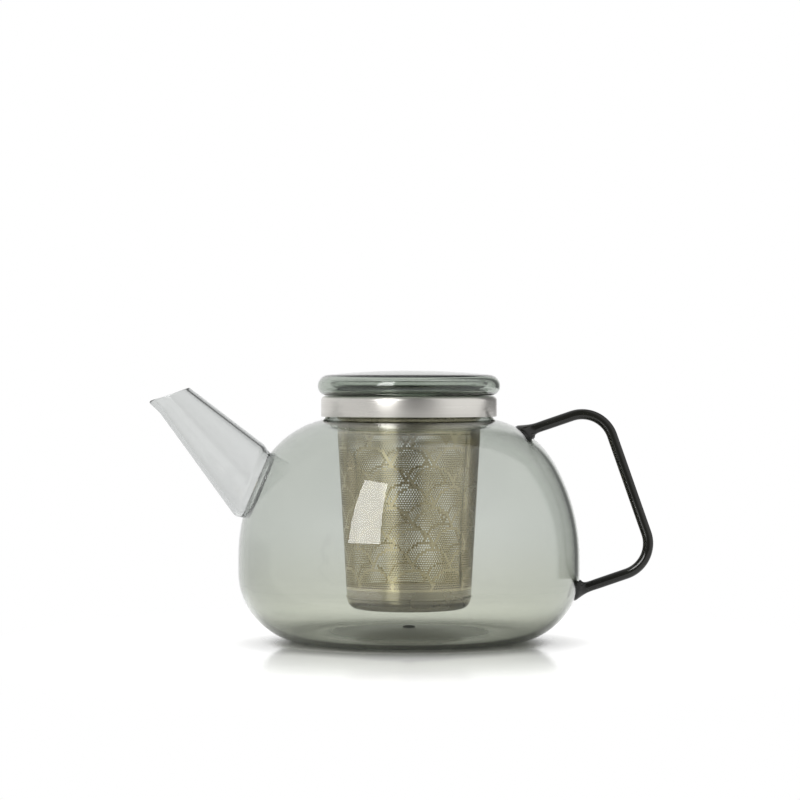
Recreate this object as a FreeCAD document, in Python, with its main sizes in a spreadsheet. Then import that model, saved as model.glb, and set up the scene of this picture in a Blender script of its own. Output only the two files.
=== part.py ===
"""A glass teapot with a steel infuser: blown bowl, fused spout and rod handle, lift-out basket and hollow lid.

The pot stands on Z = 0 with its axis on Z. The spout points along -X and the handle along +X.
Lengths are in millimetres and angles in degrees.
"""
import FreeCAD, Part
import math
import os
from types import SimpleNamespace

import Sketcher

Vector = FreeCAD.Vector

SIZES = {
    # Blown bowl, from the table up to its rim
    "bowl_diameter": 150.0,
    "glass_wall": 2.0,
    "foot_width": 4.0,
    "base_rise": 3.0,
    "heel_radius": 31.0,
    "belt_height": 6.0,
    "side_radius": 83.5,
    "shoulder_radius": 40.7,
    "shoulder_rise": 61.8,
    "neck_diameter": 73.6,
    "neck_fillet": 1.5,
    "neck_height": 6.8,
    # Spout, with its axis through a seat on the bowl's side
    "spout_seat_angle": 23.5,
    "spout_angle": 45.7,
    "spout_length": 53.5,
    "spout_root_diameter": 31.7,
    "spout_tip_diameter": 16.0,
    "spout_wall": 1.6,
    "spout_ledge": 1.0,
    "spout_bury": 14.0,
    "mouth_angle": 17.5,
    "mouth_spare": 12.0,
    # Handle rod, with its corners measured from the bowl's widest ring and its shoulder
    "rod_diameter": 4.6,
    "rod_bend_radius": 14.0,
    "handle_top_angle": 57.0,
    "handle_top_reach": 9.7,
    "handle_top_rise": 5.0,
    "handle_low_angle": -16.0,
    "handle_low_reach": 34.0,
    "handle_low_rise": 3.5,
    "handle_foot_diameter": 10.5,
    "handle_foot_height": 4.5,
    "handle_bury": 4.0,
    # Infuser: collar over the neck, tapered sleeve and pressed base
    "seat_gap": 0.3,
    "neck_seal_thickness": 1.5,
    "collar_metal": 0.6,
    "collar_height": 8.9,
    "collar_lip_depth": 5.0,
    "skirt_gap": 1.2,
    "throat_gap": 1.9,
    "sleeve_metal": 0.4,
    "sleeve_setback": 0.8,
    "sleeve_taper": 5.0,
    "basket_floor_gap": 9.2,
    "pan_depth": 5.3,
    "pan_round": 5.0,
    # Hollow lid with its plug and seal
    "lid_gap": 0.25,
    "lid_wall": 1.8,
    "lid_overhang": 1.5,
    "lid_low_round": 4.15,
    "lid_top_round": 5.05,
    "lid_dome_rise": 1.85,
    "lid_seal_height": 4.0,
    "lid_seal_width": 1.4,
    "seal_gap": 0.3,
    "plug_depth": 9.0,
    "plug_round": 3.0,
}


class Size:
    """A number that keeps the sheet expression it comes from."""

    def __init__(self, value, text):
        self.value = value
        self.text = text

    def __add__(self, other):
        other = sized(other)
        return Size(self.value + other.value, f"({self.text} + {other.text})")

    def __sub__(self, other):
        other = sized(other)
        return Size(self.value - other.value, f"({self.text} - {other.text})")

    def __mul__(self, other):
        other = sized(other)
        return Size(self.value * other.value, f"{self.text} * {other.text}")

    def __truediv__(self, other):
        other = sized(other)
        return Size(self.value / other.value, f"({self.text}) / ({other.text})")

    def __neg__(self):
        return Size(-self.value, f"(0 - {self.text})")


def sized(number):
    return number if isinstance(number, Size) else Size(number, str(number))


def square(size):
    return Size(size.value ** 2, f"({size.text}) * ({size.text})")


def root(size):
    return Size(math.sqrt(size.value), f"sqrt({size.text})")


def cosine(angle):
    return Size(math.cos(math.radians(angle.value)), f"cos({angle.text})")


def sine(angle):
    return Size(math.sin(math.radians(angle.value)), f"sin({angle.text})")


def along(start, direction, distance):
    """The point at a distance from start in a direction, all in the XZ plane."""
    return start[0] + direction[0] * distance, start[1] + direction[1] * distance


def heading(angle):
    """The direction at an angle above +X in the XZ plane."""
    return cosine(angle), sine(angle)


def toward(start, end):
    """The direction from one point to another in the XZ plane."""
    across, up = end[0] - start[0], end[1] - start[1]
    length = root(square(across) + square(up))
    return across / length, up / length


def tilt_of(direction):
    """The angle from +Z towards +X that turns an item's own Z axis to a direction."""
    across, up = direction
    angle = math.degrees(math.atan2(across.value, up.value))
    return Size(angle, f"atan2({across.text}; {up.text})")


def make_sheet(doc):
    """Write every driving size into the sheet and return the sizes by name."""
    sheet = doc.addObject("Spreadsheet::Sheet", "Sizes")
    for row, (name, value) in enumerate(SIZES.items(), 1):
        sheet.set(f"A{row}", name)
        sheet.set(f"B{row}", str(value))
        sheet.setAlias(f"B{row}", name)
    doc.recompute()
    return SimpleNamespace(**{name: Size(value, f"Sizes.{name}") for name, value in SIZES.items()})


def origin_plane(body, role):
    return next(feature for feature in body.Origin.OriginFeatures if feature.Role == role)


def add_sketch(body, name):
    """A sketch on the body's XZ plane, with sketch x along X and sketch y along Z."""
    sketch = body.newObject("Sketcher::SketchObject", name)
    sketch.AttachmentSupport = [(origin_plane(body, "XZ_Plane"), "")]
    sketch.MapMode = "FlatFace"
    return sketch


def constrain(sketch, size, kind, *places):
    """Add a dimension to a sketch and bind it to its sheet expression."""
    index = sketch.addConstraint(Sketcher.Constraint(kind, *places, size.value))
    sketch.setExpression(f"Constraints[{index}]", size.text)


def pin_point(sketch, geometry, end, point):
    """Hold a point of the sketch at its sized place, or on an axis where that coordinate is zero."""
    origin, x_axis, y_axis = (-1, 1), -1, -2
    for size, kind, axis in ((point[0], "DistanceX", y_axis), (point[1], "DistanceY", x_axis)):
        size = sized(size)
        if size.value == 0:
            sketch.addConstraint(Sketcher.Constraint("PointOnObject", geometry, end, axis))
        else:
            constrain(sketch, size, kind, *origin, geometry, end)


def flat(point):
    return Vector(sized(point[0]).value, sized(point[1]).value, 0)


def arc_between(start, end, radius):
    """The short arc from start to end. A positive radius bends left along the way, a negative one right."""
    chord = end - start
    left = Vector(-chord.y, chord.x, 0).normalize()
    offset = math.sqrt(radius ** 2 - (chord.Length / 2) ** 2)
    centre = (start + end) / 2 + left * math.copysign(offset, radius)
    first, last = (start, end) if radius > 0 else (end, start)
    angles = [math.atan2(point.y - centre.y, point.x - centre.x) for point in (first, last)]
    if angles[1] < angles[0]:
        angles[1] += 2 * math.pi
    return Part.ArcOfCircle(Part.Circle(centre, Vector(0, 0, 1), abs(radius)), *angles)


def draw_outline(sketch, steps):
    """Draw a closed outline. A step is the point that a stretch ends at, and its radius where it is an arc."""
    joins = []
    for before, step in zip([steps[-1], *steps[:-1]], steps):
        start, end = flat(before), flat(step)
        if len(step) == 2:
            geometry = sketch.addGeometry(Part.LineSegment(start, end), False)
            joins.append((geometry, 1, 2))
        else:
            radius = step[2]
            geometry = sketch.addGeometry(arc_between(start, end, radius.value), False)
            joins.append((geometry, 1, 2) if radius.value > 0 else (geometry, 2, 1))
    for (geometry, first, last), following, step in zip(joins, [*joins[1:], joins[0]], steps):
        sketch.addConstraint(Sketcher.Constraint("Coincident", geometry, last, *following[:2]))
        pin_point(sketch, geometry, last, step)
    for (geometry, first, last), step in zip(joins, steps):
        if len(step) == 3:
            radius = step[2] if step[2].value > 0 else -step[2]
            constrain(sketch, radius, "Radius", geometry)


def turned_body(doc, name, steps):
    """A body turned about Z from a closed outline of (radius, height) steps."""
    body = doc.addObject("PartDesign::Body", name)
    sketch = add_sketch(body, f"{name}_outline")
    draw_outline(sketch, steps)
    turning = body.newObject("PartDesign::Revolution", f"{name}_turning")
    turning.Profile = sketch
    turning.ReferenceAxis = (sketch, ["V_Axis"])
    turning.Angle = 360
    return body


def place(item, point, tilt):
    """Put an item at a point of the XZ plane, with its own Z axis tilted from +Z towards +X."""
    item.Placement.Rotation.Axis = Vector(0, 1, 0)
    item.setExpression("Placement.Base.x", point[0].text)
    item.setExpression("Placement.Base.z", point[1].text)
    item.setExpression("Placement.Rotation.Angle", tilt.text)


def primitive(doc, kind, name, **sizes):
    """A Part primitive with its sizes bound to the sheet."""
    item = doc.addObject(kind, name)
    for field, size in sizes.items():
        item.setExpression(field, size.text)
    return item


def cut(doc, name, base, tool):
    result = doc.addObject("Part::Cut", name)
    result.Base = base
    result.Tool = tool
    return result


def bowl_geometry(sizes):
    """The centres and levels that the bowl's section is drawn from."""
    bowl = SimpleNamespace()
    bowl.radius = sizes.bowl_diameter / 2
    bowl.neck = sizes.neck_diameter / 2
    bowl.foot = bowl.radius - sizes.heel_radius
    bowl.foot_inside = bowl.foot - sizes.foot_width
    bowl.belt_top = sizes.heel_radius + sizes.belt_height
    bowl.shoulder = bowl.belt_top + sizes.shoulder_rise
    bowl.rim = bowl.shoulder + sizes.neck_height
    bowl.floor = sizes.base_rise + sizes.glass_wall
    # The base is pushed up to a shallow dome whose centre lies below the table
    bowl.dome_radius = (square(bowl.foot_inside) + square(sizes.base_rise)) / (sizes.base_rise * 2)
    # The shoulder arc touches the side arc from inside
    spread = sizes.side_radius - sizes.shoulder_radius
    climb = sizes.shoulder_rise - sizes.shoulder_radius
    run = root(square(spread) - square(climb))
    bowl.side_centre = (bowl.radius - sizes.side_radius, bowl.belt_top)
    bowl.shoulder_centre = (bowl.side_centre[0] + run, bowl.belt_top + climb)
    bowl.shoulder_start = (run / spread, climb / spread)
    # The neck's fillet touches the shoulder arc from outside
    reach = sizes.shoulder_radius + sizes.neck_fillet
    outward = bowl.neck + sizes.neck_fillet - bowl.shoulder_centre[0]
    upward = root(square(reach) - square(outward))
    bowl.fillet_level = bowl.shoulder_centre[1] + upward
    bowl.shoulder_end = (outward / reach, upward / reach)
    return bowl


def bowl_outside(sizes, bowl):
    """Steps of the bowl's outer face, from the middle of its base up to the neck."""
    return [
        (0, sizes.base_rise),
        (bowl.foot_inside, 0, -bowl.dome_radius),
        (bowl.foot, 0),
        (bowl.radius, sizes.heel_radius, sizes.heel_radius),
        (bowl.radius, bowl.belt_top),
        (*along(bowl.side_centre, bowl.shoulder_start, sizes.side_radius), sizes.side_radius),
        (*along(bowl.shoulder_centre, bowl.shoulder_end, sizes.shoulder_radius), sizes.shoulder_radius),
        (bowl.neck, bowl.fillet_level, -sizes.neck_fillet),
    ]


def bowl_inside(sizes, bowl):
    """Steps of the bowl's inner face, a wall's thickness in, from the neck down to the middle of its floor."""
    wall = sizes.glass_wall
    side = sizes.side_radius - wall
    shoulder = sizes.shoulder_radius - wall
    dome = bowl.dome_radius + wall
    dome_edge = root(square(dome) - square(bowl.dome_radius + wall - sizes.base_rise))
    return [
        (bowl.neck - wall, bowl.fillet_level),
        (*along(bowl.shoulder_centre, bowl.shoulder_end, shoulder), sizes.neck_fillet + wall),
        (*along(bowl.side_centre, bowl.shoulder_start, side), -shoulder),
        (bowl.radius - wall, bowl.belt_top, -side),
        (bowl.radius - wall, sizes.heel_radius),
        (bowl.foot, wall, wall - sizes.heel_radius),
        (dome_edge, wall),
        (0, bowl.floor, dome),
    ]


def make_pot_body(doc, sizes, bowl, spout):
    half_wall = sizes.glass_wall / 2
    rim = [
        (bowl.neck, bowl.rim - half_wall),
        (bowl.neck - half_wall, bowl.rim, half_wall),
        (bowl.neck - sizes.glass_wall, bowl.rim - half_wall, half_wall),
    ]
    shell = turned_body(doc, "bowl_shell", bowl_outside(sizes, bowl) + rim + bowl_inside(sizes, bowl))
    hole_radius = sizes.spout_root_diameter / 2 - sizes.spout_wall - sizes.spout_ledge
    hole = primitive(doc, "Part::Cylinder", "spout_hole", Radius=hole_radius, Height=sizes.spout_bury * 2)
    place(hole, spout.inner_end, spout.tilt)
    return cut(doc, "pot_body", shell, hole)


def make_bowl_form(doc, sizes, bowl):
    """The bowl's outer form as one solid, which trims what is fused on to it."""
    top = [(bowl.neck, bowl.rim), (0, bowl.rim)]
    return turned_body(doc, "bowl_form", bowl_outside(sizes, bowl) + top)


def spout_geometry(sizes, bowl):
    """The spout's seat on the bowl's side, its axis and its ends. Its local Z runs from the bowl to the mouth."""
    spout = SimpleNamespace()
    seat = along(bowl.side_centre, heading(sizes.spout_seat_angle), sizes.side_radius)
    outward = (-cosine(sizes.spout_angle), sine(sizes.spout_angle))
    spout.seat = (-seat[0], seat[1])
    spout.inner_end = along(spout.seat, outward, -sizes.spout_bury)
    spout.mouth = along(spout.seat, outward, sizes.spout_length)
    spout.tilt = sizes.spout_angle - 90
    return spout


def make_spout(doc, sizes, spout, bowl_form):
    root_radius = sizes.spout_root_diameter / 2
    narrowing = (root_radius - sizes.spout_tip_diameter / 2) / sizes.spout_length
    low = root_radius + narrowing * sizes.spout_bury
    high = root_radius - narrowing * (sizes.spout_length + sizes.mouth_spare)
    length = sizes.spout_bury + sizes.spout_length + sizes.mouth_spare
    tube = turned_body(doc, "spout_tube", [
        (low, 0),
        (high, length),
        (high - sizes.spout_wall, length),
        (low - sizes.spout_wall, 0),
    ])
    place(tube, spout.inner_end, spout.tilt)
    rooted = cut(doc, "spout_rooted", tube, bowl_form)
    # A round block above the mouth's plane cuts the tip on a slant
    across = sizes.spout_root_diameter * 2
    above = primitive(doc, "Part::Cylinder", "mouth_block", Radius=across, Height=across)
    place(above, spout.mouth, -sizes.mouth_angle)
    return cut(doc, "spout", rooted, above)


def make_handle(doc, sizes, bowl, bowl_form):
    """The bent rod and its two flared feet, trimmed where they meet the bowl."""
    heel_centre = (bowl.foot, sizes.heel_radius)
    top_seat = along(bowl.shoulder_centre, heading(sizes.handle_top_angle), sizes.shoulder_radius)
    low_seat = along(heel_centre, heading(sizes.handle_low_angle), sizes.heel_radius)
    top_corner = (bowl.radius + sizes.handle_top_reach, bowl.shoulder + sizes.handle_top_rise)
    low_corner = (bowl.radius + sizes.handle_low_reach, sizes.heel_radius + sizes.handle_low_rise)
    top_way = toward(top_seat, top_corner)
    low_way = toward(low_seat, low_corner)
    top_end = along(top_seat, top_way, -sizes.handle_bury)
    low_end = along(low_seat, low_way, -sizes.handle_bury)

    body = doc.addObject("PartDesign::Body", "handle_rod")
    path = add_sketch(body, "rod_path")
    draw_bent_path(path, [top_end, top_corner, low_corner, low_end], sizes.rod_bend_radius)
    doc.recompute()
    ring = body.newObject("Sketcher::SketchObject", "rod_ring")
    ring.AttachmentSupport = [(path, "Edge1")]
    ring.MapMode = "NormalToEdge"
    ring.addGeometry(Part.Circle(Vector(0, 0, 0), Vector(0, 0, 1), sizes.rod_diameter.value / 2), False)
    ring.addConstraint(Sketcher.Constraint("Coincident", 0, 3, -1, 1))
    constrain(ring, sizes.rod_diameter, "Diameter", 0)
    rod = body.newObject("PartDesign::AdditivePipe", "rod_sweep")
    rod.Profile = ring
    rod.Spine = (path, [f"Edge{number}" for number in range(1, 6)])

    feet = []
    for name, end, way in (("top_foot", top_end, top_way), ("low_foot", low_end, low_way)):
        foot = primitive(
            doc, "Part::Cone", name,
            Radius1=sizes.handle_foot_diameter / 2,
            Radius2=sizes.rod_diameter / 2,
            Height=sizes.handle_bury + sizes.handle_foot_height,
        )
        place(foot, end, tilt_of(way))
        feet.append(foot)
    joined = doc.addObject("Part::MultiFuse", "handle_joined")
    joined.Shapes = [body, *feet]
    return cut(doc, "handle", joined, bowl_form)


def draw_bent_path(sketch, points, radius):
    """Draw an open path through points, straight between them, with bends that all turn the same way."""
    places = [flat(point) for point in points]
    ways = [(after - before).normalize() for before, after in zip(places, places[1:])]
    clockwise = ways[0].cross(ways[1]).z < 0
    bend_radius = -radius.value if clockwise else radius.value
    starts, ends = [places[0]], []
    bends = []
    for corner, way_in, way_out in zip(places[1:-1], ways, ways[1:]):
        setback = radius.value * math.tan(way_in.getAngle(way_out) / 2)
        ends.append(corner - way_in * setback)
        starts.append(corner + way_out * setback)
        bends.append(arc_between(ends[-1], starts[-1], bend_radius))
    ends.append(places[-1])
    edges = [Part.LineSegment(starts[0], ends[0])]
    for bend, start, end in zip(bends, starts[1:], ends[1:]):
        edges += [bend, Part.LineSegment(start, end)]
    for edge in edges:
        sketch.addGeometry(edge, False)
    arc_first, arc_last = (2, 1) if clockwise else (1, 2)
    for bend in range(1, len(edges), 2):
        sketch.addConstraint(Sketcher.Constraint("Tangent", bend - 1, 2, bend, arc_first))
        sketch.addConstraint(Sketcher.Constraint("Tangent", bend, arc_last, bend + 1, 1))
        constrain(sketch, radius, "Radius", bend)
    pin_point(sketch, 0, 1, points[0])
    pin_point(sketch, len(edges) - 1, 2, points[-1])
    # Each corner is a point on the two straight runs that meet there
    for number, point in enumerate(points[1:-1]):
        corner = sketch.addGeometry(Part.Point(flat(point)), True)
        for line in (2 * number, 2 * number + 2):
            sketch.addConstraint(Sketcher.Constraint("PointOnObject", corner, 1, line))
        pin_point(sketch, corner, 1, point)


def infuser_geometry(sizes, bowl):
    """The levels and radii that the collar, the sleeve, the base and the lid share."""
    fit = SimpleNamespace()
    fit.seal_low = bowl.rim + sizes.seat_gap
    fit.web_low = fit.seal_low + sizes.neck_seal_thickness
    fit.collar_top = fit.web_low + sizes.collar_metal
    fit.collar_round = sizes.skirt_gap + sizes.collar_metal
    fit.collar = bowl.neck + fit.collar_round
    fit.sleeve = bowl.neck - sizes.glass_wall - sizes.throat_gap - sizes.collar_metal
    fit.pan_low = bowl.floor + sizes.basket_floor_gap
    fit.seam = fit.pan_low + sizes.pan_depth
    fit.sleeve_low = fit.sleeve - sizes.sleeve_taper
    slope = sizes.sleeve_taper / (fit.collar_top - fit.seam)
    fit.sleeve_at = lambda level: fit.sleeve - slope * (fit.collar_top - level)
    fit.lid_low = fit.collar_top + sizes.lid_gap
    fit.seal_bottom = fit.lid_low - sizes.lid_seal_height
    fit.lid_seal = fit.sleeve_at(fit.seal_bottom) - sizes.sleeve_metal - sizes.seal_gap
    fit.plug = fit.lid_seal - sizes.lid_seal_width - sizes.seal_gap
    return fit


def make_collar(doc, sizes, bowl, fit):
    """A band round the neck whose top turns in over the rim and down again inside the throat."""
    metal = sizes.collar_metal
    skirt_low = fit.collar_top - sizes.collar_height
    lip_low = fit.collar_top - sizes.collar_lip_depth
    lip = fit.sleeve_at(lip_low)
    bend = fit.collar_top - fit.collar_round
    return turned_body(doc, "infuser_collar", [
        (fit.collar - metal, skirt_low),
        (fit.collar, skirt_low),
        (fit.collar, bend),
        (bowl.neck, fit.collar_top, fit.collar_round),
        (fit.sleeve, fit.collar_top),
        (lip, lip_low),
        (lip + metal, lip_low),
        (fit.sleeve_at(fit.web_low) + metal, fit.web_low),
        (bowl.neck, fit.web_low),
        (fit.collar - metal, bend, -sizes.skirt_gap),
    ])


def make_neck_seal(doc, sizes, bowl, fit):
    """A flat ring under the collar's web, as wide as the glass rim that it sits on."""
    return turned_body(doc, "neck_seal", [
        (bowl.neck - sizes.glass_wall, fit.seal_low),
        (bowl.neck, fit.seal_low),
        (bowl.neck, fit.web_low),
        (bowl.neck - sizes.glass_wall, fit.web_low),
    ])


def make_sleeve(doc, sizes, fit):
    top = fit.collar_top - sizes.sleeve_setback
    top_radius = fit.sleeve_at(top)
    return turned_body(doc, "infuser_sleeve", [
        (fit.sleeve_low - sizes.sleeve_metal, fit.seam),
        (fit.sleeve_low, fit.seam),
        (top_radius, top),
        (top_radius - sizes.sleeve_metal, top),
    ])


def make_pan(doc, sizes, fit):
    """The pressed base that closes the sleeve, with its round corner."""
    metal = sizes.sleeve_metal
    corner = fit.sleeve_low - sizes.pan_round
    corner_top = fit.pan_low + sizes.pan_round
    return turned_body(doc, "infuser_base", [
        (0, fit.pan_low),
        (corner, fit.pan_low),
        (fit.sleeve_low, corner_top, sizes.pan_round),
        (fit.sleeve_low, fit.seam),
        (fit.sleeve_low - metal, fit.seam),
        (fit.sleeve_low - metal, corner_top),
        (corner, fit.pan_low + metal, metal - sizes.pan_round),
        (0, fit.pan_low + metal),
    ])


def make_lid_dome(doc, sizes, fit):
    """The lid's upper shell: a shallow dome, a full round rim and a flat ring underneath."""
    wall = sizes.lid_wall
    lid = fit.collar + sizes.lid_overhang
    widest = fit.lid_low + sizes.lid_low_round
    peak = widest + sizes.lid_top_round + sizes.lid_dome_rise
    # The dome arc touches the rim's upper arc from outside
    rim_centre = lid - sizes.lid_top_round
    rise = sizes.lid_dome_rise
    dome = (square(rim_centre) + sizes.lid_top_round * rise * 2 + square(rise)) / (rise * 2)
    gap = dome - sizes.lid_top_round
    touch = (rim_centre / gap, (widest - peak + dome) / gap)
    flat_edge = lid - sizes.lid_low_round
    return turned_body(doc, "lid_dome", [
        (0, peak),
        (*along((rim_centre, widest), touch, sizes.lid_top_round), -dome),
        (lid, widest, -sizes.lid_top_round),
        (flat_edge, fit.lid_low, -sizes.lid_low_round),
        (fit.plug - wall, fit.lid_low),
        (fit.plug - wall, fit.lid_low + wall),
        (flat_edge, fit.lid_low + wall),
        (lid - wall, widest, sizes.lid_low_round - wall),
        (*along((rim_centre, widest), touch, sizes.lid_top_round - wall), sizes.lid_top_round - wall),
        (0, peak - wall, dome - wall),
    ])


def make_lid_plug(doc, sizes, fit):
    """The glass cup under the lid that reaches into the sleeve."""
    wall = sizes.lid_wall
    low = fit.lid_low - sizes.plug_depth
    corner = fit.plug - sizes.plug_round
    corner_top = low + sizes.plug_round
    return turned_body(doc, "lid_plug", [
        (0, low),
        (corner, low),
        (fit.plug, corner_top, sizes.plug_round),
        (fit.plug, fit.lid_low),
        (fit.plug - wall, fit.lid_low),
        (fit.plug - wall, corner_top),
        (corner, low + wall, wall - sizes.plug_round),
        (0, low + wall),
    ])


def make_lid_seal(doc, sizes, fit):
    """A ring round the plug, against the lid's flat underside."""
    inside = fit.lid_seal - sizes.lid_seal_width
    return turned_body(doc, "lid_seal", [
        (inside, fit.seal_bottom),
        (fit.lid_seal, fit.seal_bottom),
        (fit.lid_seal, fit.lid_low),
        (inside, fit.lid_low),
    ])


def check_document(doc, pieces):
    for item in doc.Objects:
        if {"Invalid", "Error"} & set(item.State):
            raise RuntimeError(f"{item.Label} failed: {item.State}")
    for piece in pieces:
        if piece.Shape.isNull() or not piece.Shape.isValid() or len(piece.Shape.Solids) != 1:
            raise RuntimeError(f"{piece.Label} is not one valid solid")


def main():
    doc = FreeCAD.newDocument("teapot")
    sizes = make_sheet(doc)
    bowl = bowl_geometry(sizes)
    spout = spout_geometry(sizes, bowl)
    fit = infuser_geometry(sizes, bowl)
    bowl_form = make_bowl_form(doc, sizes, bowl)
    pieces = [
        make_pot_body(doc, sizes, bowl, spout),
        make_spout(doc, sizes, spout, bowl_form),
        make_handle(doc, sizes, bowl, bowl_form),
        make_collar(doc, sizes, bowl, fit),
        make_neck_seal(doc, sizes, bowl, fit),
        make_sleeve(doc, sizes, fit),
        make_pan(doc, sizes, fit),
        make_lid_dome(doc, sizes, fit),
        make_lid_plug(doc, sizes, fit),
        make_lid_seal(doc, sizes, fit),
    ]
    doc.recompute()
    check_document(doc, pieces)
    os.makedirs("parts", exist_ok=True)
    for piece in pieces:
        piece.Shape.exportStep(f"parts/{piece.Label}.step")
        box = piece.Shape.BoundBox
        print(f"{piece.Label}: {piece.Shape.Volume:.0f} mm3, x {box.XMin:.1f} to {box.XMax:.1f},"
              f" z {box.ZMin:.1f} to {box.ZMax:.1f}")


main()
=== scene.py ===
"""A glass teapot with a steel infuser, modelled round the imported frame.

Pieces are measured in millimetres and degrees, and MM turns millimetres into Blender's metres. The finishes
and the studio are measured in metres, apart from the depths of bumps.
"""
import math

import bpy
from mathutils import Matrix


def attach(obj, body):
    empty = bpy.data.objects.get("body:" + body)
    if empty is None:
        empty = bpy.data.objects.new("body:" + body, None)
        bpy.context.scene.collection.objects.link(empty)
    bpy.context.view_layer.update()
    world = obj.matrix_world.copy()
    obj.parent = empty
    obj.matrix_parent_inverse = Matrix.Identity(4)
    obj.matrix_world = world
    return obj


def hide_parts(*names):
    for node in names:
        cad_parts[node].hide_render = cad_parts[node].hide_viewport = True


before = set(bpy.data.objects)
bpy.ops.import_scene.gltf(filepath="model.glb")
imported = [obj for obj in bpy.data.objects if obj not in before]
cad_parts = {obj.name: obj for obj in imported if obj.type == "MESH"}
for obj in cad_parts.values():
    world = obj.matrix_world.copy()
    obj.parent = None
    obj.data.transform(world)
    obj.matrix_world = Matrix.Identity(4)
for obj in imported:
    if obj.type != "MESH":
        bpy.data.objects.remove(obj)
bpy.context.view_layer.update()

MM = 0.001

# Blown bowl, as its section is drawn from the table up to the rim
BOWL_RADIUS = 75.0
BOWL_WALL = 2.0
BASE_RISE = 3.0
FOOT_WIDTH = 4.0
FOOT_ROUND = 25.0
HEEL_RADIUS = 31.0
BELT_TOP = 37.0
SIDE_RADIUS = 83.5
SHOULDER_RADIUS = 40.7
SHOULDER_RISE = 61.8
NECK_RADIUS = 36.8
NECK_FILLET = 1.5
RIM_LEVEL = 105.6
BOWL_FACETS = 224

# Nub in the middle of the bowl's floor, with its outline in shares of its radius and its rise
NUB_RADIUS = 2.9
NUB_RISE = 1.1
NUB_OUTLINE = ((0.92, 0.45), (0.7, 0.8), (0.35, 1.0), (0.0, 1.0))

# Fused spout, whose tube runs past both of its ends along its axis before they are cut
SPOUT_SEAT_ANGLE = 23.5
SPOUT_ANGLE = 45.7
SPOUT_LENGTH = 53.5
SPOUT_RUN = (-12.0, 70.0)
SPOUT_ROOT_RADIUS = 15.85
SPOUT_TIP_RADIUS = 8.0
SPOUT_WALL = 1.6
SPOUT_EDGE_ROUND = 0.72
SPOUT_HOLE_RADIUS = 13.25
SPOUT_HOLE_DEPTH = 28.0
SPOUT_FACETS = 192
MOUTH_ANGLE = 21.5
FUSE_DEPTH = 0.25
CUT_TOLERANCE = 0.01

# Rows of edges behind the mouth and over the root, and the rings of the rounded root, each with its height
# over the seat and its share of the tube's size
LIP_ROWS = (0.8, 1.8, 3.0, 4.5, 6.5, 9.0)
ROOT_ROWS = (6.0, 3.0, 1.4)
ROOT_START = 4.6
ROOT_RINGS = (
    (3.6, 1.01), (2.7, 1.017), (2.0, 1.017), (1.4, 1.01), (0.9, 0.998), (0.45, 0.982), (0.0, 0.962),
)

# Pouring lip: where it begins across, how it is pulled, and how far the pull spreads
LIP_REACH = -111.0
LIP_PULL = (-1.3, -0.2)
LIP_SPREAD = 7.0

# Rod handle, and the rings of its feet: distance from the bowl, radius, and share of the lean to its face
ROD_RADIUS = 2.3
ROD_BEND = 14.0
ROD_FACETS = 40
BEND_FACETS = 28
HANDLE_TOP_ANGLE = 57.0
HANDLE_LOW_ANGLE = -16.0
HANDLE_TOP_CORNER = (84.7, 103.8)
HANDLE_LOW_CORNER = (109.0, 34.5)
FOOT_RINGS = (
    (0.0, 5.0, 1.0), (0.7, 4.7, 0.95), (1.5, 4.0, 0.82), (2.4, 3.3, 0.64), (3.4, 2.75, 0.45),
    (4.6, 2.42, 0.28), (6.0, 2.28, 0.14), (7.6, 2.26, 0.05), (9.4, 2.3, 0.0),
)

# Infuser's collar, sleeve and pan
COLLAR_RADIUS = 38.6
COLLAR_LOW = 99.1
COLLAR_TOP = 108.0
COLLAR_ROUND = 1.8
COLLAR_METAL = 0.6
COLLAR_EDGE_ROUND = 0.2
COLLAR_LIP_LOW = 103.0
THROAT_ROUND = 0.7
SLEEVE_TOP_RADIUS = 32.3
SLEEVE_LOW_RADIUS = 27.3
SLEEVE_METAL = 0.4
SLEEVE_SETBACK = 0.8
SEAM_LEVEL = 19.5
PAN_LOW = 14.2
PAN_ROUND = 5.0
PAN_LAP = 0.42
PAN_RIM = 0.7
PAN_EDGE_ROUND = 0.12

# Pierced field of the sleeve, and the unpierced arcs of its fish-scale pattern
HOLES_LOW = 23.6
HOLES_HIGH = 93.0
HOLE_PITCH = 1.15
HOLE_EDGE = 0.19
FIELD_LAP = 0.6
SHEET_METAL = 0.3
SLEEVE_RINGS = 3
SCALES_ROUND = 10
SCALE_RISE = 8.83
SCALE_TOP = 86.2
SCALE_TURN = 3.0
SCALE_HALF_LINE = 0.5

# Hollow lid, and the plug's own wall inside it with its outline in shares of its reach and its rise
LID_RADIUS = 40.1
LID_LOW = 108.25
LID_WIDEST = 112.4
LID_TOP = 119.3
LID_LOW_ROUND = 4.15
LID_TOP_ROUND = 5.05
LID_WALL = 1.8
LID_GROOVE = 0.3
PLUG_RADIUS = 29.69
PLUG_LOW = 99.25
PLUG_ROUND = 3.0
PLUG_WALL = 1.4
PLUG_WALL_REACH = 34.2
PLUG_WALL_LOW = 110.65
PLUG_WALL_TOP = 114.9
PLUG_WALL_EDGE_ROUND = 0.5
PLUG_WALL_OUTLINE = ((0.4, 0.08), (0.72, 0.28), (0.93, 0.6), (1.0, 1.0))

# Seals
SEAT_GAP = 0.3
NECK_SEAL_ROUND = 0.4
SEAL_GAP = 0.3
LID_SEAL_WIDTH = 1.4
LID_SEAL_HEIGHT = 4.0
LID_SEAL_ROUND = 0.5

# Facets round the axis of the smaller turned pieces, the angle past which an edge is bevelled, and how near
# doubles lie, at seams and between the cells of the pierced sheet
TURNED_FACETS = 160
SHARP_ANGLE = 50
SEAM_DOUBLES = 0.002
CELL_DOUBLES = 0.02

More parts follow.
